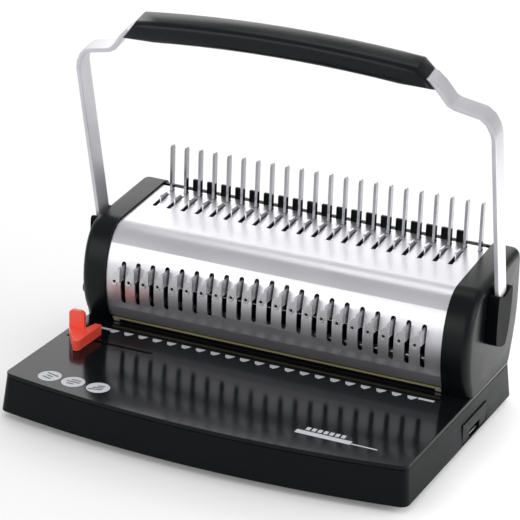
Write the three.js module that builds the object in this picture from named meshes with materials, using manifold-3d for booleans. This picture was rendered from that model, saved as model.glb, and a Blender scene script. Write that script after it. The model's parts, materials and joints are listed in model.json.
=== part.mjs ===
// Manual comb binding machine: a bowed base with a paper table, a slotted drum over the punches,
// and one wide handle that turns about a shaft through the drum. Millimetres, +Z up, front is -Y.
// The origin is under the middle of the machine, on the surface it stands on.
import * as THREE from 'three';
import { mergeVertices } from 'three/addons/utils/BufferGeometryUtils.js';
import Module from 'manifold-3d';

const wasm = await Module();
wasm.setup();

// ---- Driving dimensions -------------------------------------------------------------------

// Hole pattern of a plastic comb: 21 rings, 9/16 inch apart
const PITCH = 14.2875;
const RINGS = 21;

// Clearances
const GAP = 0.3; // between pieces that rest on each other
const RUN = 0.5; // round a piece that slides or turns

// Drum and base, overall
const END_MARGIN = 10; // cover beyond the punched row, each end
const CAP_WIDTH = 25;
const TABLE_DEPTH = 153.5; // front tip of the base to the front of the drum
const DRUM_DEPTH = 124.5;
const ROOF_FRONT = 92; // height of the drum's roof over the table, at its front and rear
const ROOF_REAR = 100.3;

// Base
const FOOT_HEIGHT = 5;
const FOOT_RADIUS = 9;
const FOOT_INSET = 22;
const BASE_HEIGHT = 30.6;
const BASE_WALL = 3;
const BASE_DRAFT = 3;
const BASE_BOW = 16;
const BASE_OVERHANG = 14; // the drum's rear stands this far behind the base
const CORNER_RADIUS = 8;
const FLOOR_T = 1.5;
const TABLE_T = 1.8;
const TABLE_SKIRT = 3.8; // the table's turned-down edge, top to lower rim

// Drum shell
const COVER_T = 1.5;
const CAP_PROUD = 2;
const CAP_WALL = 2.5;
const CAP_ROUND = 8; // radius of the caps' outer rim
const MOUTH_HEIGHT = 6.7; // cover's lower edge over the table
const MOUTH_SETBACK = 9.5; // cover's lower edge behind the drum's front
const FRAME_T = 2.5;

// Punching unit
const PUNCH_SETBACK = 18.5; // row of punches behind the drum's front
const HOLE_WIDTH = 7.9;
const HOLE_LENGTH = 2.9;
const THROAT = 3.2;
const DIE_T = 6.5;
const DIE_LEDGE = 26;
const DIE_REAR = 26; // die behind the punch row
const GUIDE_T = 1.8;
const GUIDE_REAR = 4;
const PUNCH_REST = 5.5; // tip of the end punches over the table, at rest
const STAGGER = 9.5; // the middle punch hangs this much higher than the end ones
const PUNCH_TOP = 72; // top of every punch over the table
const BAR_HEIGHT = 9;
const BAR_BOTTOM = 64.2;
const TAB_HEIGHT = 13;
const TAB_T = 2.4;
const TAB_BOTTOM = 47; // over the table, at the end punches
const TAB_DIP = 6; // the tab drops this much between the cover and its blade
const TAB_REACH = 8.5; // tab in front of the drum
const EAR_WIDTH = 8.6;
const EAR_HEIGHT = 12;
const EAR_DROP = 4; // the ear's top under the tab's top
const EAR_T = 1.6;
const EAR_HOLE_RADIUS = 1.5;
const SLOT_WIDTH = 4.6;
const SLOT_TOP = 63.2; // front slots over the table, at the ends of the row
const SLOT_BOTTOM = 23.6;

// Handle
const PIVOT_BACK = 51.5; // behind the drum's front
const PIVOT_UP = 52; // over the table
const LEAN = THREE.MathUtils.degToRad(14.3);
const BAR_T = 4;
const BAR_DEPTH = 18;
const ARM_OUT = 6; // arm's middle plane outside the caps
const ARM_BEHIND = 7.3; // bar's middle plane behind the pivot
const ARM_FOOT = 10; // lengths along the lean, from the pivot: the arm's lower end,
const ARM_LENGTH = 188; // the start of its upper bend
const SHOULDER_UP = 208; // and the inward leg
const SHOULDER_IN = 13; // leg starts this far inside the arm
const LEG_LENGTH = 20;
const LEG_RISE = 4.5;
const GRIP_RISE = 21.2; // leg's inner end up to the grip's ends
const GRIP_HALF = 138;
const GRIP_BOW = 8;
const GRIP_HEIGHT = 20;
const GRIP_DEPTH = 26;
const GRIP_ROUND = 6;
const GRIP_SLANT = 7;
const SHAFT_RADIUS = 6;
const HUB_OUTER = 10.5; // hub cover's outside face, outside the caps
const CRANK_THROW = 16;
const CRANK_ANGLE = THREE.MathUtils.degToRad(23.5); // crank pin over the forward direction, at rest
const CRANK_T = 3;
const CRANK_PIN_RADIUS = 3;
const YOKE_T = 3;
const YOKE_SLOT = 7.6;
const YOKE_DROP = 0.4; // the slot's middle under the crank pin, at rest
const SPRING_COIL_RADIUS = 7.7;
const SPRING_WIRE_RADIUS = 0.7;
const SPRING_LENGTH = 15;
const SPRING_TURNS = 6;

// Comb bed on the roof
const PIN_INSET = 24; // row of comb pins in front of the drum's rear
const PIN_SHIFT = 3.5; // row of pins stands this far to the right of the middle
const PIN_W = 2.5;
const PIN_D = 5;
const PIN_TOP = 143; // over the table
const PIN_RAIL_UP = 82;
const RAIL_T = 6;
const HOOK_SLOT_AHEAD = 36; // front end of a roof slot in front of the pins
const HOOK_SLOT_LENGTH = 28;
const HOOK_SLOT_WIDTH = 4.2;
const HOOK_T = 1.6;
const HOOK_DEPTH = 14.4;
const HOOK_PROUD = 3.5;
const OPENER_TRAVEL = 12;
const TOOTH_W = 8;
const TOOTH_UP = 10.3;
const STRIP_T = 3.4;
const STRIP_BEHIND = 8.6; // behind the pins

// Paper guide, margin control and chip tray
const GUIDE_SLOT_AHEAD = 36.5; // guide's slot in front of the drum
const GUIDE_SLOT_FROM = 7; // slot's ends, from the left side of the base
const GUIDE_SLOT_TO = 91;
const GUIDE_SLOT_WIDTH = 3.4;
const GUIDE_AT = 17; // middle of the paper guide's grip, from the left side of the base
const GUIDE_EDGE = 16.5; // its paper edge to the right of the grip's middle
const GUIDE_HEIGHT = 9.7;
const GUIDE_GRIP_HEIGHT = 25.7;
const GUIDE_GRIP_WIDTH = 15;
const GUIDE_GRIP_T = 4;
const ROD_RADIUS = 3;
const ROD_BEHIND = 7; // margin rod behind the punch row
const ROD_UP = 22;
const KNOB_RADIUS = 7;
const KNOB_LENGTH = 9;
const TRAY_DEPTH = 58;
const TRAY_HEIGHT = 17.5;
const TRAY_WALL = 2;

// ---- Derived places -------------------------------------------------------------------------

const ROW_HALF = (RINGS * PITCH) / 2;
const COVER_HALF = ROW_HALF + END_MARGIN;
const CAP_OUTER = COVER_HALF + CAP_WIDTH;
const TOTAL_DEPTH = TABLE_DEPTH + DRUM_DEPTH;
const TIP_Y = -TOTAL_DEPTH / 2;
const REAR_Y = TOTAL_DEPTH / 2;
const DRUM_Y = TIP_Y + TABLE_DEPTH;
const BASE_REAR_Y = REAR_Y - BASE_OVERHANG;

const BASE_Z = FOOT_HEIGHT + GAP;
const DECK_Z = BASE_Z + BASE_HEIGHT;
const TABLE_Z = DECK_Z + GAP + TABLE_SKIRT;
const LEDGE_Z = TABLE_Z - TABLE_T - GAP; // under the table sheet
const STAND_Z = TABLE_Z + GAP;

const PUNCH_Y = DRUM_Y + PUNCH_SETBACK;
const PIVOT_Y = DRUM_Y + PIVOT_BACK;
const PIVOT_Z = TABLE_Z + PIVOT_UP;
const ARM_X = CAP_OUTER + ARM_OUT;
const PIN_Y = REAR_Y - PIN_INSET;
const STRIP_Y = PIN_Y + STRIP_BEHIND;
const ROD_Y = PUNCH_Y + ROD_BEHIND;
const ROD_Z = TABLE_Z + ROD_UP;
const BEARING_RADIUS = SHAFT_RADIUS + 3;

const punchX = (i) => (i - (RINGS - 1) / 2) * PITCH;
const pinX = (i) => (i - RINGS / 2) * PITCH + PIN_SHIFT;
const punchLift = (i) => STAGGER * (1 - Math.abs(2 * i - (RINGS - 1)) / (RINGS - 1));

// ---- Geometry helpers -----------------------------------------------------------------------

function solid(geometry) {
  const bare = geometry.index ? geometry.toNonIndexed() : geometry.clone();
  bare.deleteAttribute('normal');
  bare.deleteAttribute('uv');
  const merged = mergeVertices(bare, 1e-4);
  return new wasm.Manifold(
    new wasm.Mesh({
      numProp: 3,
      vertProperties: new Float32Array(merged.attributes.position.array),
      triVerts: new Uint32Array(merged.index.array),
    }),
  );
}

function geometryOf(manifold) {
  const mesh = manifold.getMesh();
  const geometry = new THREE.BufferGeometry();
  geometry.setAttribute('position', new THREE.BufferAttribute(mesh.vertProperties, 3));
  geometry.setIndex(new THREE.BufferAttribute(mesh.triVerts, 1));
  geometry.computeVertexNormals();
  return geometry;
}

const cut = (body, ...tools) => tools.reduce((left, tool) => left.subtract(tool), body);
const join = (...bodies) => bodies.reduce((all, body) => all.add(body));

function block(x0, x1, y0, y1, z0, z1) {
  const box = new THREE.BoxGeometry(x1 - x0, y1 - y0, z1 - z0);
  return solid(box.translate((x0 + x1) / 2, (y0 + y1) / 2, (z0 + z1) / 2));
}

function shapeOf(points) {
  return new THREE.Shape(points.map(([a, b]) => new THREE.Vector2(a, b)));
}

// Turns a drawing of (y, z) with its depth upwards into the machine's side view, with its depth along X
const toSide = new THREE.Matrix4().makeBasis(
  new THREE.Vector3(0, 1, 0),
  new THREE.Vector3(0, 0, 1),
  new THREE.Vector3(1, 0, 0),
);

// A side view (y, z), made solid from x0 to x1
function sideSolid(points, x0, x1) {
  const geometry = new THREE.ExtrudeGeometry(shapeOf(points), { depth: x1 - x0, bevelEnabled: false });
  return solid(geometry.applyMatrix4(toSide).translate(x0, 0, 0));
}

// A plan view (x, y), made solid from z0 to z1
function planSolid(points, z0, z1) {
  const geometry = new THREE.ExtrudeGeometry(shapeOf(points), { depth: z1 - z0, bevelEnabled: false });
  return solid(geometry.translate(0, 0, z0));
}

// A round bar along X
function rod(radius, x0, x1, y, z, sides = 24) {
  const geometry = new THREE.CylinderGeometry(radius, radius, x1 - x0, sides);
  return solid(geometry.rotateZ(-Math.PI / 2).translate((x0 + x1) / 2, y, z));
}

// A solid through counterclockwise outlines with the same number of points, each with its height
function loft(sections) {
  const count = sections[0][0].length;
  const positions = sections.flatMap(([outline, z]) => outline.flatMap(([x, y]) => [x, y, z]));
  const index = [];
  const close = (outline, first, flip) => {
    const corners = outline.map(([x, y]) => new THREE.Vector2(x, y));
    for (const [a, b, c] of THREE.ShapeUtils.triangulateShape(corners, [])) {
      index.push(...(flip ? [c, b, a] : [a, b, c]).map((k) => k + first));
    }
  };
  close(sections[0][0], 0, true);
  close(sections.at(-1)[0], count * (sections.length - 1), false);
  for (let level = 0; level < sections.length - 1; level += 1) {
    for (let i = 0; i < count; i += 1) {
      const [a, b] = [level * count + i, level * count + ((i + 1) % count)];
      index.push(a, b, b + count, a, b + count, a + count);
    }
  }
  const geometry = new THREE.BufferGeometry();
  geometry.setAttribute('position', new THREE.BufferAttribute(new Float32Array(positions), 3));
  geometry.setIndex(index);
  return geometry;
}

// An open line of points moved sideways; positive is to the left of its direction
function offsetLine(points, distance) {
  return points.map(([a, b], i) => {
    const [a0, b0] = points[Math.max(i - 1, 0)];
    const [a1, b1] = points[Math.min(i + 1, points.length - 1)];
    const length = Math.hypot(a1 - a0, b1 - b0);
    return [a - ((b1 - b0) / length) * distance, b + ((a1 - a0) / length) * distance];
  });
}

// ---- Drum's side view -----------------------------------------------------------------------

const roofZ = (y) => {
  const front = DRUM_Y + 30.5;
  const rear = REAR_Y - 12.5;
  return TABLE_Z + ROOF_FRONT + ((ROOF_REAR - ROOF_FRONT) * (y - front)) / (rear - front);
};

function pointsBetween(path, divisions) {
  return path.getPoints(divisions).map((p) => [p.x, p.y]);
}

// Front of the cover: from its lower edge up over the shoulder
function frontCurve() {
  const path = new THREE.Path();
  path.moveTo(DRUM_Y + MOUTH_SETBACK, TABLE_Z + MOUTH_HEIGHT);
  path.bezierCurveTo(
    DRUM_Y - 8.5, TABLE_Z + 34,
    DRUM_Y - 0.5, TABLE_Z + ROOF_FRONT - 2,
    DRUM_Y + 30.5, TABLE_Z + ROOF_FRONT,
  );
  return pointsBetween(path, 16);
}

// Rear of the drum: from the roof round to the table
function rearCurve() {
  const back = REAR_Y - CAP_PROUD;
  const path = new THREE.Path();
  path.moveTo(REAR_Y - 12.5, TABLE_Z + ROOF_REAR);
  path.bezierCurveTo(
    back - 5.8, TABLE_Z + ROOF_REAR + 0.5,
    back - 2.2, TABLE_Z + ROOF_REAR - 3.5,
    back - 1.8, TABLE_Z + ROOF_REAR - 8.5,
  );
  path.bezierCurveTo(
    back - 1.5, TABLE_Z + ROOF_REAR - 20,
    back, TABLE_Z + 68,
    back, TABLE_Z + 54,
  );
  path.bezierCurveTo(
    back, TABLE_Z + 40,
    back - 3, TABLE_Z + 22,
    BASE_REAR_Y - 1, STAND_Z,
  );
  return pointsBetween(path, 6);
}

const COVER_REAR_Y = STRIP_Y - STRIP_T / 2 - GAP;
const coverLine = [...frontCurve(), [COVER_REAR_Y, roofZ(COVER_REAR_Y)]];
const REAR_COVER_Y = STRIP_Y + STRIP_T / 2 + GAP;
const rearLine = [[REAR_COVER_Y, roofZ(REAR_COVER_Y)], ...rearCurve()];
const drumLine = [...frontCurve(), ...rearCurve()];

// Closed outline of the drum, moved outwards, standing on the table
function drumOutline(outwards, standZ) {
  const line = offsetLine(drumLine, outwards);
  const last = line.length - 1;
  line[last] = [line[last][0], standZ];
  return [[line[0][0] + 2, standZ], ...line];
}

// ---- Base -----------------------------------------------------------------------------------

// Plan of the base: bowed front, round corners; spread moves every side outwards
function basePlan(spread, radius = CORNER_RADIUS) {
  const half = CAP_OUTER + spread;
  const corner = TIP_Y + BASE_DRAFT + BASE_BOW - spread;
  const rear = BASE_REAR_Y + spread;
  const flat = half - radius;
  const points = [];
  const bowSteps = 24;
  for (let i = 0; i <= bowSteps; i += 1) {
    const t = (2 * i) / bowSteps - 1;
    points.push([flat * t, corner - BASE_BOW * (1 - t * t)]);
  }
  const arc = (cx, cy, from) => {
    for (let i = 1; i <= 5; i += 1) {
      const angle = from + (Math.PI / 2) * (i / 5);
      points.push([cx + radius * Math.cos(angle), cy + radius * Math.sin(angle)]);
    }
  };
  arc(flat, corner + radius, -Math.PI / 2);
  points.push([half, rear - radius]);
  arc(flat, rear - radius, 0);
  points.push([-flat, rear]);
  arc(-flat, rear - radius, Math.PI / 2);
  points.push([-half, corner + radius]);
  arc(-flat, corner + radius, Math.PI);
  points.pop();
  return points;
}

const DIE_HALF = COVER_HALF - 2;
const DIE_FRONT_Y = DRUM_Y + MOUTH_SETBACK + GAP;
const DIE_REAR_Y = PUNCH_Y + DIE_REAR;
const DIE_Z = TABLE_Z - DIE_T;
const GUIDE_SLOT_Y = DRUM_Y - GUIDE_SLOT_AHEAD;
const GUIDE_X = -CAP_OUTER + GUIDE_AT;
const TRAY_Y = PUNCH_Y - TRAY_DEPTH / 2;
const TRAY_Z = BASE_Z + FLOOR_T + GAP;
const TRAY_OPENING = RUN;

function baseHousing() {
  const shell = solid(loft([[basePlan(BASE_DRAFT), BASE_Z], [basePlan(0), DECK_Z]]));
  const inside = [basePlan(BASE_DRAFT - BASE_WALL), BASE_Z - 1];
  const pocket = solid(loft([inside, [basePlan(-BASE_WALL), DECK_Z - BASE_WALL]]));
  const dieOpening = block(
    -DIE_HALF - GAP, DIE_HALF + GAP,
    DIE_FRONT_Y - DIE_LEDGE - GAP, DIE_REAR_Y + GAP,
    DECK_Z - BASE_WALL - 1, DECK_Z + 1,
  );
  const clampOpening = block(
    -CAP_OUTER + GUIDE_SLOT_FROM - 1, -CAP_OUTER + GUIDE_SLOT_TO + 6,
    GUIDE_SLOT_Y - 7, GUIDE_SLOT_Y + 7,
    DECK_Z - BASE_WALL - 1, DECK_Z + 1,
  );
  const trayMouth = block(
    CAP_OUTER - 2 * BASE_WALL, CAP_OUTER + 2 * BASE_DRAFT,
    TRAY_Y - TRAY_OPENING, TRAY_Y + TRAY_DEPTH + TRAY_OPENING,
    TRAY_Z - GAP, TRAY_Z + TRAY_HEIGHT + TRAY_OPENING,
  );
  return cut(shell, pocket, dieOpening, clampOpening, trayMouth);
}

function floorPlate() {
  const inside = basePlan(BASE_DRAFT - BASE_WALL - 2 * GAP);
  return planSolid(inside, BASE_Z, BASE_Z + FLOOR_T);
}

// Table of sheet steel over the whole base, edges turned down, open over the die and the guide's slot
function tablePlate() {
  const sheet = planSolid(basePlan(0), DECK_Z + GAP, TABLE_Z);
  const under = planSolid(basePlan(-TABLE_T), DECK_Z, TABLE_Z - TABLE_T);
  const plate = cut(sheet, under);
  const dieOpening = block(
    -DIE_HALF - GAP, DIE_HALF + GAP, DIE_FRONT_Y - GAP, DIE_REAR_Y + GAP, DECK_Z, TABLE_Z + 1,
  );
  const guideSlot = block(
    -CAP_OUTER + GUIDE_SLOT_FROM, -CAP_OUTER + GUIDE_SLOT_TO,
    GUIDE_SLOT_Y - GUIDE_SLOT_WIDTH / 2, GUIDE_SLOT_Y + GUIDE_SLOT_WIDTH / 2,
    DECK_Z, TABLE_Z + 1,
  );
  return cut(plate, dieOpening, guideSlot);
}

// Lower die: a thick rear part level with the table, and a ledge that reaches under the table's edge
function diePlate() {
  const profile = [
    [DIE_FRONT_Y - DIE_LEDGE, DIE_Z],
    [DIE_REAR_Y, DIE_Z],
    [DIE_REAR_Y, TABLE_Z],
    [DIE_FRONT_Y, TABLE_Z],
    [DIE_FRONT_Y, LEDGE_Z],
    [DIE_FRONT_Y - DIE_LEDGE, LEDGE_Z],
  ];
  const holes = [];
  for (let i = 0; i < RINGS; i += 1) {
    holes.push(punchHole(i, DIE_Z, TABLE_Z));
  }
  return cut(sideSolid(profile, -DIE_HALF, DIE_HALF), ...holes);
}

function punchHole(i, z0, z1) {
  const halfX = HOLE_WIDTH / 2 + GAP;
  const halfY = HOLE_LENGTH / 2 + GAP;
  return block(punchX(i) - halfX, punchX(i) + halfX, PUNCH_Y - halfY, PUNCH_Y + halfY, z0 - 1, z1 + 1);
}

const GUIDE_Z = TABLE_Z + THROAT;

function punchGuide() {
  const plate = block(
    -DIE_HALF, DIE_HALF,
    DIE_FRONT_Y, PUNCH_Y + GUIDE_REAR,
    GUIDE_Z + GAP, GUIDE_Z + GAP + GUIDE_T,
  );
  const holes = [];
  for (let i = 0; i < RINGS; i += 1) {
    holes.push(punchHole(i, GUIDE_Z, GUIDE_Z + GUIDE_T));
  }
  return cut(plate, ...holes);
}

function throatSpacer(side) {
  const inner = ROW_HALF + 2;
  const x0 = side > 0 ? inner : -DIE_HALF;
  const x1 = side > 0 ? DIE_HALF : -inner;
  return block(x0, x1, DIE_FRONT_Y + 2, PUNCH_Y + GUIDE_REAR, STAND_Z, GUIDE_Z);
}

// ---- Drum pieces ----------------------------------------------------------------------------

function frontSlot(i) {
  const lift = punchLift(i);
  const z0 = TABLE_Z + SLOT_BOTTOM + lift;
  const z1 = TABLE_Z + SLOT_TOP + lift;
  const radius = SLOT_WIDTH / 2;
  const slot = new THREE.Shape();
  slot.absarc(punchX(i), z1 - radius, radius, 0, Math.PI);
  slot.absarc(punchX(i), z0 + radius, radius, Math.PI, 2 * Math.PI);
  const depth = MOUTH_SETBACK + 13;
  const geometry = new THREE.ExtrudeGeometry(slot, { depth, bevelEnabled: false, curveSegments: 6 });
  return solid(geometry.rotateX(Math.PI / 2).translate(0, DRUM_Y - 5 + depth, 0));
}

function slottedCover() {
  const inner = offsetLine(coverLine, -COVER_T);
  const sheet = sideSolid([...coverLine, ...inner.reverse()], -COVER_HALF + GAP, COVER_HALF - GAP);
  const tools = [];
  for (let i = 0; i < RINGS; i += 1) {
    const x = pinX(i);
    tools.push(frontSlot(i));
    tools.push(
      block(
        x - HOOK_SLOT_WIDTH / 2, x + HOOK_SLOT_WIDTH / 2,
        PIN_Y - HOOK_SLOT_AHEAD, PIN_Y - HOOK_SLOT_AHEAD + HOOK_SLOT_LENGTH,
        roofZ(PIN_Y) - 15, roofZ(PIN_Y) + 5,
      ),
    );
  }
  for (let i = 0; i <= RINGS; i += 1) {
    tools.push(
      block(
        pinX(i) - PIN_W / 2 - RUN, pinX(i) + PIN_W / 2 + RUN,
        PIN_Y - PIN_D / 2 - RUN, PIN_Y + PIN_D / 2 + RUN,
        roofZ(PIN_Y) - 10, roofZ(PIN_Y) + 5,
      ),
    );
  }
  return cut(sheet, ...tools);
}

function rearCover() {
  const inner = offsetLine(rearLine, -COVER_T);
  return sideSolid([...rearLine, ...inner.reverse()], -COVER_HALF + GAP, COVER_HALF - GAP);
}

// Solid of an end cap with a round outer rim, drawn on the right; inset moves every side inwards
function capSolid(inset, from) {
  const radius = CAP_ROUND - inset;
  const outline = (inwards) => drumOutline(CAP_PROUD - inset - inwards, STAND_Z + inset).reverse();
  const sections = [[outline(0), from]];
  const steps = 5;
  for (let i = 0; i <= steps; i += 1) {
    const angle = (Math.PI / 2) * (i / steps);
    sections.push([
      outline(radius * (1 - Math.cos(angle))),
      CAP_OUTER - CAP_ROUND + radius * Math.sin(angle),
    ]);
  }
  return solid(loft(sections).applyMatrix4(toSide));
}

function sideCap(side) {
  const shaftHole = rod(SHAFT_RADIUS + 1, COVER_HALF, CAP_OUTER + 1, PIVOT_Y, PIVOT_Z);
  const knobHole = rod(ROD_RADIUS + RUN, COVER_HALF, CAP_OUTER + 1, ROD_Y, ROD_Z);
  const cap = cut(capSolid(0, COVER_HALF), capSolid(CAP_WALL, COVER_HALF - 1), shaftHole);
  return side > 0 ? cap : cut(cap, knobHole).mirror([1, 0, 0]);
}

function sideFrame(side) {
  const outline = drumOutline(-CAP_WALL - 1.5, STAND_Z + CAP_WALL + GAP);
  const x0 = side > 0 ? COVER_HALF + 2 : -COVER_HALF - 2 - FRAME_T;
  const plate = sideSolid(outline, x0, x0 + FRAME_T);
  const bearing = rod(BEARING_RADIUS + GAP, x0 - 1, x0 + FRAME_T + 1, PIVOT_Y, PIVOT_Z);
  const rodHole = rod(ROD_RADIUS + RUN, x0 - 1, x0 + FRAME_T + 1, ROD_Y, ROD_Z);
  return cut(plate, bearing, rodHole);
}

function bearingBush(side) {
  const x0 = side > 0 ? COVER_HALF + 1 : -COVER_HALF - 3 - FRAME_T;
  const length = FRAME_T + 2;
  return cut(
    rod(BEARING_RADIUS, x0, x0 + length, PIVOT_Y, PIVOT_Z),
    rod(SHAFT_RADIUS + GAP, x0 - 1, x0 + length + 1, PIVOT_Y, PIVOT_Z),
  );
}

// ---- Punching unit --------------------------------------------------------------------------

// One punch: its blade, the tab through the front slot, and the ear folded across in front of the cover
function punch(i) {
  const lift = punchLift(i);
  const x = punchX(i);
  const tabZ = TABLE_Z + TAB_BOTTOM + lift;
  const tipY = DRUM_Y - TAB_REACH;
  const blade = block(
    x - HOLE_WIDTH / 2, x + HOLE_WIDTH / 2,
    PUNCH_Y - HOLE_LENGTH / 2, PUNCH_Y + HOLE_LENGTH / 2,
    TABLE_Z + PUNCH_REST + lift, TABLE_Z + PUNCH_TOP,
  );
  const tabTop = tabZ + TAB_HEIGHT;
  const earTop = tabTop - EAR_DROP;
  const bendY = DRUM_Y + 8;
  const tab = sideSolid(
    [
      [tipY, tabZ], [bendY, tabZ], [PUNCH_Y - 5, tabZ - TAB_DIP], [PUNCH_Y, tabZ - TAB_DIP],
      [PUNCH_Y, tabTop - TAB_DIP], [PUNCH_Y - 5, tabTop - TAB_DIP], [bendY, tabTop], [tipY, tabTop],
    ],
    x - TAB_T / 2, x + TAB_T / 2,
  );
  const right = x + TAB_T / 2;
  const left = right - EAR_WIDTH;
  const outline = [
    [right, earTop], [left + 3.6, earTop], [left + 0.8, earTop - 3],
    [left, earTop - EAR_HEIGHT + 3], [left + 1.5, earTop - EAR_HEIGHT],
    [left + 5, earTop - EAR_HEIGHT], [left + 6.2, earTop - EAR_HEIGHT + 3.5], [right, tabZ + 2],
  ];
  const earSheet = new THREE.ExtrudeGeometry(shapeOf(outline), { depth: EAR_T, bevelEnabled: false });
  const ear = solid(earSheet.rotateX(Math.PI / 2).translate(0, tipY + EAR_T, 0));
  const drill = new THREE.CylinderGeometry(EAR_HOLE_RADIUS, EAR_HOLE_RADIUS, 4 * EAR_T, 10);
  const hole = solid(drill.translate(left + 3.4, tipY, earTop - EAR_HEIGHT + 3.6));
  return cut(join(blade, tab, ear), hole);
}

const BAR_END = DIE_HALF - 9;
const BAR_BACK_Y = PUNCH_Y + 5.4;
const CRANK_PIN_Y = PIVOT_Y - CRANK_THROW * Math.cos(CRANK_ANGLE);
const CRANK_PIN_Z = PIVOT_Z + CRANK_THROW * Math.sin(CRANK_ANGLE);

function punchBar() {
  const barZ = TABLE_Z + BAR_BOTTOM;
  const bar = block(-BAR_END, BAR_END, PUNCH_Y - 2.8, BAR_BACK_Y, barZ, barZ + BAR_HEIGHT);
  const seats = [];
  for (let i = 0; i < RINGS; i += 1) {
    seats.push(punchHole(i, barZ, TABLE_Z + PUNCH_TOP - 1 + GAP));
  }
  return cut(bar, ...seats);
}

// Plate on each end of the punch bar; the crank pin works in its slot, which is open to the rear
function yoke(side) {
  const slotZ = CRANK_PIN_Z - YOKE_DROP;
  const low = slotZ - YOKE_SLOT / 2;
  const high = slotZ + YOKE_SLOT / 2;
  const jawY = PIVOT_Y - SHAFT_RADIUS - 1;
  const slotY = PIVOT_Y - CRANK_THROW - CRANK_PIN_RADIUS - 1;
  const topZ = TABLE_Z + BAR_BOTTOM + BAR_HEIGHT;
  const outline = [
    [PUNCH_Y - 5, low - 3], [jawY, low - 3], [jawY, low], [slotY, low],
    [slotY, high], [jawY, high], [jawY, high + 3], [BAR_BACK_Y + 4, high + 3],
    [BAR_BACK_Y, topZ], [PUNCH_Y - 5, topZ],
  ];
  const x0 = side > 0 ? BAR_END + GAP : -BAR_END - GAP - YOKE_T;
  return sideSolid(outline, x0, x0 + YOKE_T);
}

// Disc on the shaft with one eccentric pin
function crank(side) {
  const near = BAR_END + GAP + YOKE_T + 2;
  const x0 = side > 0 ? near : -near - CRANK_T;
  const pinEnd = side * (BAR_END + GAP + 0.4);
  const disc = rod(CRANK_THROW + CRANK_PIN_RADIUS + 1, x0, x0 + CRANK_T, PIVOT_Y, PIVOT_Z, 32);
  const pinFrom = Math.min(pinEnd, x0 + 1);
  const pinTo = Math.max(pinEnd, x0 + CRANK_T - 1);
  const pin = rod(CRANK_PIN_RADIUS, pinFrom, pinTo, CRANK_PIN_Y, CRANK_PIN_Z, 16);
  const bore = rod(SHAFT_RADIUS + GAP, x0 - 1, x0 + CRANK_T + 1, PIVOT_Y, PIVOT_Z);
  return cut(join(disc, pin), bore);
}

// Coil round the shaft that holds the handle up
function returnSpring(side) {
  const steps = SPRING_TURNS * 12;
  const centreX = side * (BAR_END - SPRING_LENGTH);
  const points = [];
  for (let i = 0; i <= steps; i += 1) {
    const angle = (2 * Math.PI * SPRING_TURNS * i) / steps;
    points.push(
      new THREE.Vector3(
        centreX + SPRING_LENGTH * (i / steps - 0.5),
        PIVOT_Y + SPRING_COIL_RADIUS * Math.cos(angle),
        PIVOT_Z + SPRING_COIL_RADIUS * Math.sin(angle),
      ),
    );
  }
  const corners = [0, 1, 2, 3, 4].map((k) => (2 * Math.PI * k) / 5);
  const section = shapeOf(
    corners.map((a) => [SPRING_WIRE_RADIUS * Math.cos(a), SPRING_WIRE_RADIUS * Math.sin(a)]),
  );
  const wirePath = new THREE.CatmullRomCurve3(points);
  return solid(new THREE.ExtrudeGeometry(section, { steps, extrudePath: wirePath }));
}

// ---- Comb bed -------------------------------------------------------------------------------

function combPins() {
  const railZ = TABLE_Z + PIN_RAIL_UP;
  const pieces = [
    block(
      pinX(0) - 5, pinX(RINGS) + 5 > COVER_HALF - 1 ? COVER_HALF - 1 : pinX(RINGS) + 5,
      PIN_Y - RAIL_T / 2, PIN_Y + RAIL_T / 2,
      railZ, railZ + RAIL_T,
    ),
  ];
  for (let i = 0; i <= RINGS; i += 1) {
    const x = pinX(i);
    const outline = [
      [x - PIN_W / 2, railZ + 1],
      [x + PIN_W / 2, railZ + 1],
      [x + PIN_W / 2, TABLE_Z + PIN_TOP - 3],
      [x + PIN_W / 4, TABLE_Z + PIN_TOP],
      [x - PIN_W / 4, TABLE_Z + PIN_TOP],
      [x - PIN_W / 2, TABLE_Z + PIN_TOP - 3],
    ];
    const geometry = new THREE.ExtrudeGeometry(shapeOf(outline), { depth: PIN_D, bevelEnabled: false });
    pieces.push(solid(geometry.rotateX(Math.PI / 2).translate(0, PIN_Y + PIN_D / 2, 0)));
  }
  return join(...pieces);
}

function openerHooks() {
  const rearY = PIN_Y - HOOK_SLOT_AHEAD + HOOK_SLOT_LENGTH - 1;
  const frontY = rearY - HOOK_DEPTH;
  const railZ = TABLE_Z + PIN_RAIL_UP - 1;
  const topZ = roofZ(rearY) + HOOK_PROUD;
  const pieces = [block(pinX(0) - 4, pinX(RINGS - 1) + 4, frontY, rearY, railZ, railZ + RAIL_T)];
  for (let i = 0; i < RINGS; i += 1) {
    const profile = [
      [frontY, railZ + 1],
      [rearY, railZ + 1],
      [rearY, topZ - 3],
      [rearY - 3, topZ],
      [frontY + 1.5, topZ],
      [frontY, topZ - 1.5],
    ];
    pieces.push(sideSolid(profile, pinX(i) - HOOK_T / 2, pinX(i) + HOOK_T / 2));
  }
  return join(...pieces);
}

// Black strip behind the pins: its teeth stand in the spaces between them
function toothStrip() {
  const y0 = STRIP_Y - STRIP_T / 2;
  const y1 = STRIP_Y + STRIP_T / 2;
  const roof = roofZ(STRIP_Y);
  const pieces = [block(pinX(0) - 2, pinX(RINGS) + 2, y0, y1, roof - 9, roof)];
  for (let i = 1; i < RINGS - 1; i += 1) {
    const x = (pinX(i) + pinX(i + 1)) / 2;
    pieces.push(block(x - TOOTH_W / 2, x + TOOTH_W / 2, y0, y1, roof - 1, roof + TOOTH_UP));
  }
  return join(...pieces);
}

// ---- Handle ---------------------------------------------------------------------------------

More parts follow.
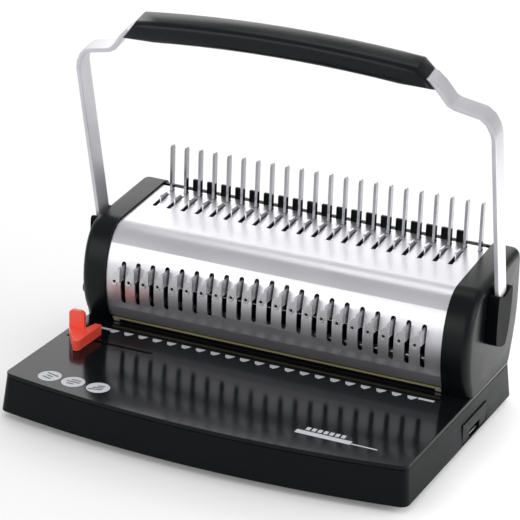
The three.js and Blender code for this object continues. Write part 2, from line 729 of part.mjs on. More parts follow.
// Handle pieces are drawn in the plane of the bar: x across, s up along the lean, n out of the plane
function leaned(manifoldGeometry) {
  const toHandle = new THREE.Matrix4().makeBasis(
    new THREE.Vector3(1, 0, 0),
    new THREE.Vector3(0, -Math.sin(LEAN), Math.cos(LEAN)),
    new THREE.Vector3(0, -Math.cos(LEAN), -Math.sin(LEAN)),
  );
  return manifoldGeometry.applyMatrix4(toHandle).translate(0, PIVOT_Y, PIVOT_Z);
}

const GRIP_UP = SHOULDER_UP + LEG_RISE + GRIP_RISE;
const gripS = (x) => GRIP_UP + GRIP_BOW * (1 - (x / GRIP_HALF) ** 2);

// Middle line of the flat bar, from the foot of the left arm to the foot of the right arm
function barLine() {
  const legX = ARM_X - SHOULDER_IN;
  const stepX = legX - LEG_LENGTH;
  const half = [
    [ARM_X, ARM_FOOT],
    [ARM_X, ARM_LENGTH],
    [ARM_X - 1.2, ARM_LENGTH + 6],
    [ARM_X - 5, SHOULDER_UP - 6],
    [legX + 2, SHOULDER_UP - 1],
    [stepX, SHOULDER_UP + LEG_RISE - 1],
    [stepX - 5, SHOULDER_UP + LEG_RISE + 1.5],
    [GRIP_HALF + 6, gripS(GRIP_HALF) - 7],
    [GRIP_HALF, gripS(GRIP_HALF) - 1],
  ];
  const middle = [];
  for (let x = GRIP_HALF - 12; x > -GRIP_HALF + 11; x -= 21) {
    middle.push([x, gripS(x)]);
  }
  return [...half, ...middle, ...half.map(([x, s]) => [-x, s]).reverse()];
}

function barSolid(thickness, depth) {
  const line = barLine();
  const outline = [...offsetLine(line, thickness / 2), ...offsetLine(line, -thickness / 2).reverse()];
  const geometry = new THREE.ExtrudeGeometry(shapeOf(outline), { depth, bevelEnabled: false });
  return solid(leaned(geometry.translate(0, 0, -ARM_BEHIND - depth / 2)));
}

function gripSolid() {
  const half = GRIP_HEIGHT / 2 - GRIP_ROUND;
  const top = [];
  const bottom = [];
  const steps = 12;
  for (let i = 0; i <= steps; i += 1) {
    const t = (2 * i) / steps - 1;
    const topX = (GRIP_HALF - GRIP_SLANT - GRIP_ROUND) * t;
    const bottomX = (GRIP_HALF + GRIP_SLANT - GRIP_ROUND - 4) * t;
    top.push([topX, gripS(topX) + half]);
    bottom.push([bottomX, gripS(bottomX) - half]);
  }
  const geometry = new THREE.ExtrudeGeometry(shapeOf([...bottom, ...top.reverse()]), {
    depth: GRIP_DEPTH - 2 * GRIP_ROUND,
    bevelEnabled: true,
    bevelThickness: GRIP_ROUND,
    bevelSize: GRIP_ROUND,
    bevelSegments: 3,
  });
  const grip = solid(
    leaned(geometry.translate(0, 0, -ARM_BEHIND - GRIP_DEPTH / 2 + GRIP_ROUND)),
  );
  return cut(grip, barSolid(BAR_T + 2 * GAP, BAR_DEPTH + 2 * GAP));
}

const SHAFT_END = CAP_OUTER + 7;

// Moulded hub that joins the arm's lower end to the shaft's end
function hubCover(side) {
  const at = (back, up) => new THREE.Vector2(PIVOT_Y + back, PIVOT_Z + up);
  const corners = [
    at(-15, 33), at(-1, 30), at(17, 34), at(18, 15),
    at(14, -5), at(7, -17), at(-14, -10), at(-16, 12),
  ];
  const curve = new THREE.CatmullRomCurve3(
    corners.map((corner) => new THREE.Vector3(corner.x, corner.y, 0)),
    true, 'catmullrom', 0.35,
  );
  const outline = curve.getPoints(40).slice(0, -1).map((p) => [p.x, p.y]);
  const x0 = side > 0 ? CAP_OUTER + RUN : -CAP_OUTER - HUB_OUTER;
  const x1 = side > 0 ? CAP_OUTER + HUB_OUTER : -CAP_OUTER - RUN;
  const body = sideSolid(outline, x0, x1);
  const arm = barSolid(BAR_T + 2 * GAP, BAR_DEPTH + 2 * GAP);
  const tail = new THREE.BoxGeometry(BAR_T + 2 * GAP, 12, BAR_DEPTH + 2 * GAP);
  const tailPocket = solid(leaned(tail.translate(side * ARM_X, ARM_FOOT + 6 - GAP, -ARM_BEHIND)));
  const shaftPocket = rod(SHAFT_RADIUS + GAP, -SHAFT_END - GAP, SHAFT_END + GAP, PIVOT_Y, PIVOT_Z);
  return cut(body, arm, tailPocket, shaftPocket);
}

// ---- Paper guide, margin control, chip tray, feet --------------------------------------------

// Paper edge guide: a long edge for the sheets, a sloping web, and an upright grip over the slot
function paperGuide() {
  const grip = GUIDE_GRIP_WIDTH / 2;
  const web = planSolid(
    [
      [GUIDE_X - grip, GUIDE_SLOT_Y - 2],
      [GUIDE_X + GUIDE_EDGE - 5, GUIDE_SLOT_Y - 28.5],
      [GUIDE_X + GUIDE_EDGE - 1.5, GUIDE_SLOT_Y - 28.5],
      [GUIDE_X + GUIDE_EDGE, GUIDE_SLOT_Y - 26],
      [GUIDE_X + GUIDE_EDGE, GUIDE_SLOT_Y + 14],
      [GUIDE_X + GUIDE_EDGE - 6.5, GUIDE_SLOT_Y + 14],
      [GUIDE_X + grip + 0.5, GUIDE_SLOT_Y + 2],
      [GUIDE_X - grip, GUIDE_SLOT_Y + 2],
    ],
    STAND_Z, STAND_Z + GUIDE_HEIGHT,
  );
  const outline = new THREE.Shape();
  outline.moveTo(GUIDE_X - grip, STAND_Z + 1);
  outline.lineTo(GUIDE_X + grip, STAND_Z + 1);
  outline.lineTo(GUIDE_X + grip, STAND_Z + GUIDE_GRIP_HEIGHT - 4);
  outline.absarc(GUIDE_X + grip - 4, STAND_Z + GUIDE_GRIP_HEIGHT - 4, 4, 0, Math.PI / 2);
  outline.absarc(GUIDE_X - grip + 4, STAND_Z + GUIDE_GRIP_HEIGHT - 4, 4, Math.PI / 2, Math.PI);
  const sheet = new THREE.ExtrudeGeometry(outline, {
    depth: GUIDE_GRIP_T,
    bevelEnabled: false,
    curveSegments: 5,
  });
  const upright = solid(sheet.rotateX(Math.PI / 2).translate(0, GUIDE_SLOT_Y + GUIDE_GRIP_T / 2, 0));
  const stem = block(
    GUIDE_X - 6, GUIDE_X + 6,
    GUIDE_SLOT_Y - GUIDE_SLOT_WIDTH / 2 + GAP, GUIDE_SLOT_Y + GUIDE_SLOT_WIDTH / 2 - GAP,
    LEDGE_Z, STAND_Z + 1,
  );
  return join(web, upright, stem);
}

function guideClamp() {
  const z1 = LEDGE_Z - GAP;
  return block(GUIDE_X - 7, GUIDE_X + 7, GUIDE_SLOT_Y - 6, GUIDE_SLOT_Y + 6, z1 - 2.5, z1);
}

// Eccentric rod behind the throat: its fingers are the stops that the sheets are pushed against
function marginRod() {
  const left = -CAP_OUTER - 1 - GAP;
  const shaft = rod(ROD_RADIUS, left, COVER_HALF + 2 + FRAME_T + 2, ROD_Y, ROD_Z, 16);
  const fingers = [-7, 0, 7].map((place) => {
    const x = (place + 0.5) * PITCH;
    return block(x - 3, x + 3, ROD_Y - 1.5, ROD_Y + 1.5, STAND_Z + 1, ROD_Z);
  });
  return join(shaft, ...fingers);
}

function marginKnob() {
  const x1 = -CAP_OUTER - RUN;
  const geometry = new THREE.CylinderGeometry(KNOB_RADIUS - 0.8, KNOB_RADIUS, KNOB_LENGTH, 20);
  const body = solid(geometry.rotateZ(Math.PI / 2).translate(x1 - KNOB_LENGTH / 2, ROD_Y, ROD_Z));
  return cut(body, rod(ROD_RADIUS + GAP, -CAP_OUTER - 2, x1 + 1, ROD_Y, ROD_Z, 16));
}

const TRAY_LEFT = -ROW_HALF;

function chipTray() {
  const right = CAP_OUTER + BASE_DRAFT - 0.5;
  const bin = block(TRAY_LEFT, right, TRAY_Y, TRAY_Y + TRAY_DEPTH, TRAY_Z, TRAY_Z + TRAY_HEIGHT);
  const hollow = block(
    TRAY_LEFT + TRAY_WALL, CAP_OUTER - BASE_WALL - TRAY_WALL,
    TRAY_Y + TRAY_WALL, TRAY_Y + TRAY_DEPTH - TRAY_WALL,
    TRAY_Z + TRAY_WALL, TRAY_Z + TRAY_HEIGHT + 1,
  );
  const fingerPull = block(
    right - 5, right + 1,
    TRAY_Y + TRAY_DEPTH / 2 - 12, TRAY_Y + TRAY_DEPTH / 2 + 12,
    TRAY_Z - 1, TRAY_Z + 7,
  );
  return cut(bin, hollow, fingerPull);
}

function rubberFoot(sideX, sideY) {
  const y = sideY > 0 ? BASE_REAR_Y - FOOT_INSET : TIP_Y + BASE_DRAFT + BASE_BOW + FOOT_INSET;
  const geometry = new THREE.CylinderGeometry(FOOT_RADIUS, FOOT_RADIUS - 1, FOOT_HEIGHT, 24);
  const x = sideX * (CAP_OUTER - FOOT_INSET);
  return solid(geometry.rotateX(Math.PI / 2).translate(x, y, FOOT_HEIGHT / 2));
}

// ---- Materials ------------------------------------------------------------------------------

function finish(color, roughness, metalness) {
  return new THREE.MeshStandardMaterial({ color, roughness, metalness });
}

const blackPaint = finish(0x15181a, 0.3, 0.1);
const blackPlastic = finish(0x1b1e20, 0.45, 0);
const silverSheet = finish(0xd3d2da, 0.35, 0.6);
const steel = finish(0xb9b9be, 0.35, 0.9);
const zinc = finish(0xa8a25a, 0.4, 0.8);
const barSteel = finish(0xcfcdd3, 0.4, 0.5);
const redPlastic = finish(0xff5a48, 0.4, 0);
const gripBlack = finish(0x101315, 0.4, 0);
const rubber = finish(0x0c0c0c, 0.8, 0);

// ---- Assembly -------------------------------------------------------------------------------

const machine = new THREE.Group();

function add(parent, name, piece, material) {
  const mesh = new THREE.Mesh(geometryOf(piece), material);
  mesh.name = name;
  parent.add(mesh);
}

const frame = new THREE.Group();
add(frame, 'base_housing', baseHousing(), blackPlastic);
add(frame, 'floor_plate', floorPlate(), steel);
add(frame, 'table_plate', tablePlate(), blackPaint);
add(frame, 'die_plate', diePlate(), steel);
add(frame, 'punch_guide', punchGuide(), zinc);
add(frame, 'slotted_cover', slottedCover(), silverSheet);
add(frame, 'rear_cover', rearCover(), blackPlastic);
add(frame, 'comb_pins', combPins(), steel);
add(frame, 'tooth_strip', toothStrip(), blackPlastic);
for (const [word, side] of [['left', -1], ['right', 1]]) {
  add(frame, `${word}_cap`, sideCap(side), blackPlastic);
  add(frame, `${word}_frame`, sideFrame(side), steel);
  add(frame, `${word}_bush`, bearingBush(side), steel);
  add(frame, `${word}_throat_spacer`, throatSpacer(side), steel);
  add(frame, `${word}_spring`, returnSpring(side), steel);
  add(frame, `front_${word}_foot`, rubberFoot(side, -1), rubber);
  add(frame, `rear_${word}_foot`, rubberFoot(side, 1), rubber);
}
machine.add(frame);

const handle = new THREE.Group();
add(handle, 'handle_bar', barSolid(BAR_T, BAR_DEPTH), barSteel);
add(handle, 'grip', gripSolid(), gripBlack);
add(handle, 'pivot_shaft', rod(SHAFT_RADIUS, -SHAFT_END, SHAFT_END, PIVOT_Y, PIVOT_Z), steel);
for (const [word, side] of [['left', -1], ['right', 1]]) {
  add(handle, `${word}_hub_cover`, hubCover(side), blackPlastic);
  add(handle, `${word}_crank`, crank(side), steel);
}
machine.add(handle);

const ram = new THREE.Group();
add(ram, 'punch_bar', punchBar(), steel);
add(ram, 'left_yoke', yoke(-1), steel);
add(ram, 'right_yoke', yoke(1), steel);
for (let i = 0; i < RINGS; i += 1) {
  add(ram, `punch_${String(i + 1).padStart(2, '0')}`, punch(i), steel);
}
machine.add(ram);

const opener = new THREE.Group();
add(opener, 'opener_hooks', openerHooks(), steel);
machine.add(opener);

const sideGuide = new THREE.Group();
add(sideGuide, 'paper_guide', paperGuide(), redPlastic);
add(sideGuide, 'guide_clamp', guideClamp(), blackPlastic);
machine.add(sideGuide);

const margin = new THREE.Group();
add(margin, 'margin_rod', marginRod(), steel);
add(margin, 'margin_knob', marginKnob(), blackPlastic);
machine.add(margin);

const tray = new THREE.Group();
add(tray, 'chip_tray', chipTray(), blackPlastic);
machine.add(tray);

export default machine;
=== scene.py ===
import json
import math
import bmesh
import bpy
from mathutils import Matrix, Vector


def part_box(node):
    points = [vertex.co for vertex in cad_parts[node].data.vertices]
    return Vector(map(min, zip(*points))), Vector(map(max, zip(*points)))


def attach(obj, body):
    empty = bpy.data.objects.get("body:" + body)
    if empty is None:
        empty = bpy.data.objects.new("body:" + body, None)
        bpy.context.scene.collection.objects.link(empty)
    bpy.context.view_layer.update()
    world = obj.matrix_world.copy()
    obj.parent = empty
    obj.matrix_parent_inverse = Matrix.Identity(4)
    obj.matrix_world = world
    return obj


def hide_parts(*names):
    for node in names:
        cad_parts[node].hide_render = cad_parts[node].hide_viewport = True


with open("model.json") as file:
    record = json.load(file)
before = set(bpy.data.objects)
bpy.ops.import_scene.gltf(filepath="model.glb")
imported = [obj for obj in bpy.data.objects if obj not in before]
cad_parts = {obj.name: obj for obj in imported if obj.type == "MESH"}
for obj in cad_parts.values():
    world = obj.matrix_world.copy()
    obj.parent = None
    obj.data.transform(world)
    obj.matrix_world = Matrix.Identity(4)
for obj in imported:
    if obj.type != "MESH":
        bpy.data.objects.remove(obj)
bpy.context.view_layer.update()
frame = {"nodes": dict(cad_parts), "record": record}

# ---- Floor and backdrop ----------------------------------------------------------------------
# A plain white sweep under and behind the machine. Not part of the object.


def new_material(name, color, roughness, metallic=0.0, specular=0.5):
    """A material with one Principled shader, its constants set on the shader's own sockets."""
    material = bpy.data.materials.new(name)
    material.use_nodes = True
    shader = material.node_tree.nodes["Principled BSDF"]
    shader.inputs["Base Color"].default_value = (*color, 1)
    shader.inputs["Roughness"].default_value = roughness
    shader.inputs["Metallic"].default_value = metallic
    shader.inputs["Specular IOR Level"].default_value = specular
    return material


def mesh_object(name, vertices, faces, material):
    mesh = bpy.data.meshes.new(name)
    mesh.from_pydata(vertices, [], faces)
    mesh.update()
    mesh.materials.append(material)
    piece = bpy.data.objects.new(name, mesh)
    bpy.context.scene.collection.objects.link(piece)
    return piece


SWEEP_HALF_WIDTH = 9.0
SWEEP_FRONT = -6.0
SWEEP_BEND_START = 3.5
SWEEP_BEND_RADIUS = 2.0
SWEEP_BEND_STEPS = 12
SWEEP_TOP = 9.0


def backdrop():
    profile = [(SWEEP_FRONT, 0.0), (SWEEP_BEND_START, 0.0)]
    for step in range(1, SWEEP_BEND_STEPS + 1):
        angle = math.pi / 2 * step / SWEEP_BEND_STEPS
        y = SWEEP_BEND_START + SWEEP_BEND_RADIUS * math.sin(angle)
        profile.append((y, SWEEP_BEND_RADIUS * (1 - math.cos(angle))))
    profile.append((SWEEP_BEND_START + SWEEP_BEND_RADIUS, SWEEP_TOP))
    vertices = [(side * SWEEP_HALF_WIDTH, y, z) for y, z in profile for side in (-1, 1)]
    faces = [(2 * i, 2 * i + 1, 2 * i + 3, 2 * i + 2) for i in range(len(profile) - 1)]
    paper = new_material("sweep_paper", (0.93, 0.93, 0.93), 0.9)
    sweep = mesh_object("studio_sweep", vertices, faces, paper)
    for polygon in sweep.data.polygons:
        polygon.use_smooth = True


backdrop()

# ---- Shared surface effects ------------------------------------------------------------------
# Two node groups, moulded grain and brush lines. Each gives a fine relief and a broad variation
# of tone and roughness, and every material sets its own tones, roughness and relief on it.

RELIEF_DEPTH = 0.0002
NOISE_LOW, NOISE_HIGH = 0.3, 0.7
EFFECT_INPUTS = (
    ("Dark Tone", "NodeSocketColor"),
    ("Light Tone", "NodeSocketColor"),
    ("Low Roughness", "NodeSocketFloat"),
    ("High Roughness", "NodeSocketFloat"),
    ("Relief", "NodeSocketFloat"),
)
EFFECT_OUTPUTS = (
    ("Color", "NodeSocketColor"),
    ("Roughness", "NodeSocketFloat"),
    ("Normal", "NodeSocketVector"),
)


def noise_in(group, stretch, scale, detail):
    """The value of one noise in the piece's own coordinates."""
    coordinates = group.nodes.new("ShaderNodeTexCoord")
    mapping = group.nodes.new("ShaderNodeMapping")
    mapping.inputs["Scale"].default_value = stretch
    noise = group.nodes.new("ShaderNodeTexNoise")
    noise.inputs["Scale"].default_value = scale
    noise.inputs["Detail"].default_value = detail
    group.links.new(coordinates.outputs["Object"], mapping.inputs["Vector"])
    group.links.new(mapping.outputs["Vector"], noise.inputs["Vector"])
    return noise.outputs["Fac"]


def effect_group(name, fine, broad):
    """A group from two noises, each given as its stretch, scale and detail."""
    group = bpy.data.node_groups.new(name, "ShaderNodeTree")
    for way, sockets in (("INPUT", EFFECT_INPUTS), ("OUTPUT", EFFECT_OUTPUTS)):
        for socket_name, socket_type in sockets:
            group.interface.new_socket(name=socket_name, in_out=way, socket_type=socket_type)
    given = group.nodes.new("NodeGroupInput").outputs
    result = group.nodes.new("NodeGroupOutput").inputs
    fine_value = noise_in(group, *fine)
    broad_value = noise_in(group, *broad)

    tone = group.nodes.new("ShaderNodeMix")
    tone.data_type = "RGBA"
    tone_dark, tone_light, tone_result = tone.inputs[6], tone.inputs[7], tone.outputs[2]
    group.links.new(broad_value, tone.inputs[0])
    group.links.new(given["Dark Tone"], tone_dark)
    group.links.new(given["Light Tone"], tone_light)
    group.links.new(tone_result, result["Color"])

    ramp = group.nodes.new("ShaderNodeMapRange")
    ramp.inputs["From Min"].default_value = NOISE_LOW
    ramp.inputs["From Max"].default_value = NOISE_HIGH
    group.links.new(broad_value, ramp.inputs["Value"])
    group.links.new(given["Low Roughness"], ramp.inputs["To Min"])
    group.links.new(given["High Roughness"], ramp.inputs["To Max"])
    group.links.new(ramp.outputs["Result"], result["Roughness"])

    bump = group.nodes.new("ShaderNodeBump")
    bump.inputs["Distance"].default_value = RELIEF_DEPTH
    group.links.new(given["Relief"], bump.inputs["Strength"])
    group.links.new(fine_value, bump.inputs["Height"])
    group.links.new(bump.outputs["Normal"], result["Normal"])
    return group


GRAIN = effect_group("moulded_grain", ((1, 1, 1), 1700, 3), ((1, 1, 1), 26, 3))
BRUSH = effect_group("brush_lines", ((0.02, 1, 1), 1500, 2), ((0.25, 1, 1), 34, 3))


def finish(name, group, relief, tones, roughness, metallic=0.0, specular=0.5):
    """A material whose colour, roughness and normal come from one effect group."""
    material = new_material(name, tones[0], roughness[0], metallic, specular)
    tree = material.node_tree
    shader = tree.nodes["Principled BSDF"]
    effect = tree.nodes.new("ShaderNodeGroup")
    effect.node_tree = group
    effect.inputs["Dark Tone"].default_value = (*tones[0], 1)
    effect.inputs["Light Tone"].default_value = (*tones[1], 1)
    effect.inputs["Low Roughness"].default_value = roughness[0]
    effect.inputs["High Roughness"].default_value = roughness[1]
    effect.inputs["Relief"].default_value = relief
    tree.links.new(effect.outputs["Color"], shader.inputs["Base Color"])
    tree.links.new(effect.outputs["Roughness"], shader.inputs["Roughness"])
    tree.links.new(effect.outputs["Normal"], shader.inputs["Normal"])
    return material


# ---- Base housing, floor plate and feet ------------------------------------------------------
# One black moulding with a bowed front, closed from below by a steel floor and carried by four
# rubber feet. Its outer edges are rounded where the mould parts.


WELD = 1e-6
FLAT_ANGLE = math.radians(0.6)


def body_of(node):
    bodies = frame["record"]["behaviour"]["bodies"]
    return next(body for body, nodes in bodies.items() if node in nodes)


def softened(node, width, material, sharp_angle=32, segments=3):
    """Stands for a CAD node: the same solid with its edges rounded and its curves shaded smooth."""
    mesh = bpy.data.meshes.new(node + "_finish")
    work = bmesh.new()
    work.from_mesh(frame["nodes"][node].data)
    bmesh.ops.remove_doubles(work, verts=work.verts, dist=WELD)
    bmesh.ops.dissolve_limit(work, angle_limit=FLAT_ANGLE, verts=work.verts, edges=work.edges)
    work.to_mesh(mesh)
    work.free()
    mesh.materials.clear()
    mesh.materials.append(material)
    for polygon in mesh.polygons:
        polygon.use_smooth = True
    mesh.set_sharp_from_angle(angle=math.radians(sharp_angle))
    piece = bpy.data.objects.new(node + "_finish", mesh)
    bpy.context.scene.collection.objects.link(piece)
    if width:
        bevel = piece.modifiers.new("edges", "BEVEL")
        bevel.width = width
        bevel.segments = segments
        bevel.limit_method = "ANGLE"
        bevel.angle_limit = math.radians(sharp_angle)
        bevel.use_clamp_overlap = True
        bevel.harden_normals = True
    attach(piece, body_of(node))
    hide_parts(node)


moulding = finish(
    "black_moulding", GRAIN, 0.2,
    ((0.0015, 0.0025, 0.003), (0.003, 0.004, 0.0045)), (0.34, 0.42), specular=0.09,
)
foot_rubber = finish(
    "foot_rubber", GRAIN, 0.5,
    ((0.006, 0.006, 0.006), (0.013, 0.012, 0.012)), (0.7, 0.9), specular=0.2,
)
mill_steel = finish(
    "mill_steel", BRUSH, 0.2,
    ((0.46, 0.46, 0.47), (0.58, 0.58, 0.59)), (0.26, 0.4), metallic=0.95,
)

softened("base_housing", 0.0016, moulding)
softened("floor_plate", 0.0003, mill_steel)
for end in ("front", "rear"):
    for side in ("left", "right"):
        softened(f"{end}_{side}_foot", 0.0008, foot_rubber)

# ---- Paper table with its printed marks ------------------------------------------------------
# Sheet steel, turned down at the edges and stove enamelled gloss black. Printed on it are a row
# of hole marks with a bar at each end, three round pictures, and a block, a rule and some ticks.

enamel = finish(
    "gloss_enamel", GRAIN, 0.03,
    ((0.003, 0.004, 0.005), (0.005, 0.006, 0.007)), (0.1, 0.14), specular=0.12,
)
softened("table_plate", 0.0007, enamel)

TABLE_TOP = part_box("table_plate")[1].z
PRINT_LIFT = 0.00004
PRINT_T = 0.00003

print_white = finish(
    "print_white", GRAIN, 0.05,
    ((0.48, 0.49, 0.52), (0.58, 0.59, 0.62)), (0.46, 0.56), specular=0.3,
)
print_black = finish(
    "print_black", GRAIN, 0.05,
    ((0.02, 0.02, 0.02), (0.04, 0.04, 0.04)), (0.36, 0.46),
)


def printed(name, outline, material, level=0):
    """A thin closed film of ink on the table, from an outline in metres."""
    base = TABLE_TOP + PRINT_LIFT + level * 2 * PRINT_T
    count = len(outline)
    vertices = [(x, y, base) for x, y in outline] + [(x, y, base + PRINT_T) for x, y in outline]
    faces = [tuple(range(count, 2 * count)), tuple(reversed(range(count)))]
    faces += [(i, (i + 1) % count, count + (i + 1) % count, count + i) for i in range(count)]
    film = mesh_object(name, vertices, faces, material)
    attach(film, "frame")


def disc_shape(x, y, radius, steps=40):
    turns = [2 * math.pi * i / steps for i in range(steps)]
    return [(x + radius * math.cos(t), y + radius * math.sin(t)) for t in turns]


def bar_shape(x, y, half_x, half_y, lean=0.0):
    corners = [(-half_x, -half_y), (half_x, -half_y), (half_x, half_y), (-half_x, half_y)]
    c, s = math.cos(lean), math.sin(lean)
    return [(x + a * c - b * s, y + a * s + b * c) for a, b in corners]


PICTURE_RADIUS = 0.0102
PICTURE_PLACES = ((-0.1476, -0.106), (-0.1243, -0.107), (-0.1002, -0.107))
PICTURE_BAR_HALVES = (0.0062, 0.0046, 0.0032)
PICTURE_BAR_HALF_T = 0.0009
PICTURE_BAR_STEP = (0.001, 0.0038)
PICTURE_LEAN = 0.25
for number, (x, y) in enumerate(PICTURE_PLACES, 1):
    printed(f"picture_{number}_disc", disc_shape(x, y, PICTURE_RADIUS), print_white)
    lean = PICTURE_LEAN * (number - 2)
    for row in range(3):
        half = PICTURE_BAR_HALVES[(row + number) % 3]
        bar_x = x + PICTURE_BAR_STEP[0] * (row - 1)
        bar_y = y + PICTURE_BAR_STEP[1] * (row - 1)
        bar = bar_shape(bar_x, bar_y, half, PICTURE_BAR_HALF_T, lean)
        printed(f"picture_{number}_bar_{row + 1}", bar, print_black, 1)

HOLE_COUNT = 21
ROW_PITCH = 0.0142875
ROW_Y = 0.0045
FLAG = (
    (-0.0082, 0.0032), (-0.0058, -0.0022), (-0.0022, -0.0036), (0.0006, 0.0006), (0.0012, 0.0034),
)
ROW_BAR_OVER = 0.002
ROW_BAR_HALVES = (0.0072, 0.0018)
for number in range(1, HOLE_COUNT + 1):
    middle = (number - (HOLE_COUNT + 1) // 2) * ROW_PITCH
    flag = [(middle + x, ROW_Y + y) for x, y in FLAG]
    printed(f"hole_mark_{number:02d}", flag, print_white)
for side, place in (("left", -0.1567), ("right", 0.1521)):
    printed(f"{side}_row_bar", bar_shape(place, ROW_Y + ROW_BAR_OVER, *ROW_BAR_HALVES), print_white)

MARK_X, MARK_Y = 0.1045, -0.1005
BLOCK_HALVES = (0.0245, 0.0032)
RULE_OFFSET, RULE_HALVES = (0.0365, -0.0012), (0.0115, 0.0009)
TICK_COUNT, TICK_PITCH = 7, 0.0052
TICK_OFFSET, TICK_HALVES = (-0.0165, 0.0078), (0.0018, 0.0028)
printed("mark_block", bar_shape(MARK_X, MARK_Y, *BLOCK_HALVES), print_white)
rule = bar_shape(MARK_X + RULE_OFFSET[0], MARK_Y + RULE_OFFSET[1], *RULE_HALVES)
printed("mark_rule", rule, print_white)
for number in range(TICK_COUNT):
    tick_x = MARK_X + TICK_OFFSET[0] + number * TICK_PITCH
    tick = bar_shape(tick_x, MARK_Y + TICK_OFFSET[1], *TICK_HALVES)
    printed(f"mark_tick_{number + 1}", tick, print_white)

# ---- Die, punch guide, frames and drive ------------------------------------------------------
# The working steel inside the drum: a blackened die, a yellow zinc plated guide plate, two side
# frames with bushes, and the shaft whose cranks press the yokes and the punch bar down.

bright_steel = finish(
    "bright_steel", BRUSH, 0.01,
    ((0.56, 0.56, 0.58), (0.68, 0.68, 0.70)), (0.22, 0.32), metallic=0.75,
)
yellow_zinc = finish(
    "yellow_zinc", GRAIN, 0.1,
    ((0.22, 0.22, 0.11), (0.34, 0.31, 0.18)), (0.34, 0.46), metallic=0.5,
)
# Black oxide for the die; the same material also colours the ear plugs, which are painted shade in
# the ear holes.
black_oxide_and_shade = finish(
    "black_oxide_and_shade", BRUSH, 0.1,
    ((0.004, 0.004, 0.005), (0.010, 0.010, 0.011)), (0.4, 0.5), specular=0.2,
)
softened("die_plate", 0.0002, black_oxide_and_shade, segments=1)
softened("punch_guide", 0.0002, yellow_zinc, segments=1)
for node in ("punch_bar", "pivot_shaft"):
    softened(node, 0.0004, mill_steel, segments=2)
for side in ("left", "right"):
    for part in ("frame", "bush", "throat_spacer", "crank", "yoke"):
        softened(f"{side}_{part}", 0.0003, mill_steel, segments=1)
    softened(f"{side}_spring", 0, bright_steel, sharp_angle=80)

# ---- Slotted drum cover ----------------------------------------------------------------------
# One bent sheet in silver enamel. The long slots in front let the punch tabs through, and the
# short ones on top let the opener's hooks travel.

silver = finish(
    "silver_enamel", GRAIN, 0.05,
    ((0.58, 0.58, 0.61), (0.63, 0.63, 0.66)), (0.31, 0.37), metallic=0.85,
)
silver.node_tree.nodes["Principled BSDF"].inputs["Coat Weight"].default_value = 0.25
softened("slotted_cover", 0.0002, silver, segments=1)

# ---- End caps and rear cover -----------------------------------------------------------------
# Deep black mouldings that close the drum's ends and back. The caps stand a little proud of the
# cover and have a generous round along both rims.

cap_moulding = finish(
    "cap_moulding", GRAIN, 0.15,
    ((0.0018, 0.0028, 0.0033), (0.003, 0.004, 0.0045)), (0.26, 0.34), specular=0.16,
)
for side in ("left", "right"):
    softened(f"{side}_cap", 0.0011, cap_moulding)
softened("rear_cover", 0.0003, cap_moulding, segments=1)

# ---- Punches ---------------------------------------------------------------------------------
# Twenty-one hardened punches, plated bright. Each has a tab through the front slot and an ear
# folded across in front of the cover. A black plug in its small hole is painted shade: it stands
# for the dark inside the open hole.

EAR_HOLE_IN = 0.0034
EAR_HOLE_OVER_TIP = 0.0421
# The plug is painted shade: a black dome set in each ear's hole to stand for the dark inside it.
SHADE_PLUG_PROFILE = ((0.00005, 0.00035), (0.0009, 0.00045), (0.00135, 0.0007), (0.00135, 0.0014))
SHADE_PLUG_STEPS = 16


def painted_hole_shade(name, centre):
    """A turned plug with a low dome, painted shade for the dark in the ear's hole; axis along Y,
    profile of radius and depth.
    """
    vertices, faces = [], []
    for radius, depth in SHADE_PLUG_PROFILE:
        for i in range(SHADE_PLUG_STEPS):
            turn = 2 * math.pi * i / SHADE_PLUG_STEPS
            offset = Vector((radius * math.cos(turn), depth, radius * math.sin(turn)))
            vertices.append(centre + offset)
    last = (len(SHADE_PLUG_PROFILE) - 1) * SHADE_PLUG_STEPS
    for near in range(0, last, SHADE_PLUG_STEPS):
        far = near + SHADE_PLUG_STEPS
        for i in range(SHADE_PLUG_STEPS):
            after = (i + 1) % SHADE_PLUG_STEPS
            faces.append((near + i, near + after, far + after, far + i))
    faces.append(tuple(reversed(range(SHADE_PLUG_STEPS))))
    faces.append(tuple(range(last, last + SHADE_PLUG_STEPS)))
    shade_plug = mesh_object(name, vertices, faces, black_oxide_and_shade)
    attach(shade_plug, "punch_ram")


for number in range(1, HOLE_COUNT + 1):
    node = f"punch_{number:02d}"
    softened(node, 0.00025, bright_steel, segments=2)
    x, y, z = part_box(node)[0]
    # Painted shade: a black plug darkens the ear's hole.
    painted_hole_shade(f"{node}_plug", Vector((x + EAR_HOLE_IN, y, z + EAR_HOLE_OVER_TIP)))

# ---- Comb bed --------------------------------------------------------------------------------
# Upright pins that hold the comb, the sliding hooks that open it, and a black toothed strip in
# the spaces behind the pins.

nickel = finish(
    "nickel_plate", BRUSH, 0.06,
    ((0.20, 0.20, 0.22), (0.40, 0.40, 0.42)), (0.16, 0.24), metallic=1.0,
)
softened("comb_pins", 0.0004, nickel, segments=2)
softened("opener_hooks", 0.0002, bright_steel, segments=1)
softened("tooth_strip", 0.0005, moulding, segments=2)

# ---- Handle ----------------------------------------------------------------------------------
# A flat steel bar bent into one wide bow and enamelled pale grey, a black moulded grip along
# its top, and a black hub on each end that turns with the shaft.

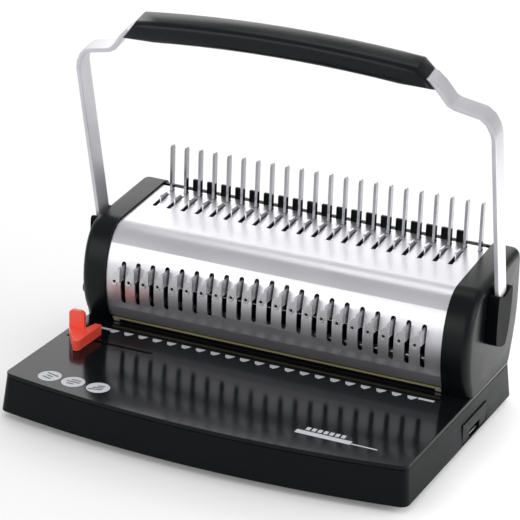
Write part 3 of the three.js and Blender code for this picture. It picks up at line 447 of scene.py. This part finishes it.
pale_enamel = finish(
    "pale_enamel", BRUSH, 0.05,
    ((0.46, 0.45, 0.49), (0.64, 0.63, 0.66)), (0.28, 0.4), metallic=0.45,
)
grip_moulding = finish(
    "grip_moulding", GRAIN, 0.12,
    ((0.0018, 0.0028, 0.0035), (0.003, 0.004, 0.005)), (0.22, 0.3), specular=0.2,
)
hub_moulding = finish(
    "hub_moulding", GRAIN, 0.2,
    ((0.0008, 0.0012, 0.0015), (0.002, 0.0025, 0.003)), (0.45, 0.55), specular=0.04,
)
softened("handle_bar", 0.0007, pale_enamel, sharp_angle=40)
softened("grip", 0.0003, grip_moulding, sharp_angle=55, segments=2)
for side in ("left", "right"):
    softened(f"{side}_hub_cover", 0.0014, hub_moulding, sharp_angle=40)

# ---- Paper guide, margin knob and chip tray --------------------------------------------------
# The red guide slides along its slot and is held by a clamp under the table. The knob turns the
# paper stop, and the tray pulls out to the right.

red_moulding = finish(
    "red_moulding", GRAIN, 0.08,
    ((0.86, 0.075, 0.045), (0.92, 0.10, 0.06)), (0.3, 0.4),
)
softened("paper_guide", 0.0006, red_moulding)
softened("guide_clamp", 0.0005, moulding, segments=2)
softened("margin_rod", 0.0002, mill_steel, segments=1)
softened("margin_knob", 0.0009, cap_moulding)
softened("chip_tray", 0.0008, moulding, segments=2)

# ---- Light and camera ------------------------------------------------------------------------
# A wide panel behind whitens the drum's top, and one low in front draws the bright band above
# the slots. A soft light overhead, a weak fill and a low floor light on the right fill the rest.


def area_light(name, place, target, size_x, size_y, watts):
    light = bpy.data.lights.new(name, "AREA")
    light.shape = "RECTANGLE"
    light.size = size_x
    light.size_y = size_y
    light.energy = watts
    lamp = bpy.data.objects.new(name, light)
    lamp.location = place
    aim = Vector(target) - Vector(place)
    lamp.rotation_euler = aim.to_track_quat("-Z", "Y").to_euler()
    bpy.context.scene.collection.objects.link(lamp)


area_light("rear_panel", (-1.15, 2.6, 1.5), (0.0, 0.0, 0.12), 4.4, 1.5, 42)
area_light("front_panel", (-1.1, -2.25, 0.86), (0.0, 0.0, 0.12), 3.2, 1.15, 24)
area_light("overhead", (0.0, 0.3, 1.8), (0.0, 0.05, 0.1), 1.6, 0.8, 6)
area_light("right_fill", (1.7, -0.1, 0.7), (0.1, 0.0, 0.1), 0.7, 0.9, 5)
area_light("right_floor", (0.62, 0.3, 0.16), (0.62, 0.3, 0.0), 0.5, 0.9, 5)

world = bpy.data.worlds.new("surround")
world.use_nodes = True
background = world.node_tree.nodes["Background"]
background.inputs["Color"].default_value = (1, 1, 1, 1)
background.inputs["Strength"].default_value = 0.62
bpy.context.scene.world = world
bpy.context.scene.view_settings.view_transform = "Standard"

SENSOR_WIDTH_MM = 36
LENS_MM = 161.5
CAMERA_PLACE = Vector((0.7624, -1.6775, 0.8687))
YAW, PITCH, ROLL = (math.radians(a) for a in (-24.533, -21.608, 2.001))
forward = Vector((math.sin(YAW) * math.cos(PITCH), math.cos(YAW) * math.cos(PITCH), math.sin(PITCH)))
level_right = Vector((math.cos(YAW), -math.sin(YAW), 0))
level_up = level_right.cross(forward)
right = level_right * math.cos(ROLL) + level_up * math.sin(ROLL)
up = -level_right * math.sin(ROLL) + level_up * math.cos(ROLL)
camera_data = bpy.data.cameras.new("camera")
camera_data.sensor_width = SENSOR_WIDTH_MM
camera_data.lens = LENS_MM
camera = bpy.data.objects.new("camera", camera_data)
camera.matrix_world = Matrix((
    (right.x, up.x, -forward.x, CAMERA_PLACE.x),
    (right.y, up.y, -forward.y, CAMERA_PLACE.y),
    (right.z, up.z, -forward.z, CAMERA_PLACE.z),
    (0, 0, 0, 1),
))
bpy.context.scene.collection.objects.link(camera)
bpy.context.scene.camera = camera
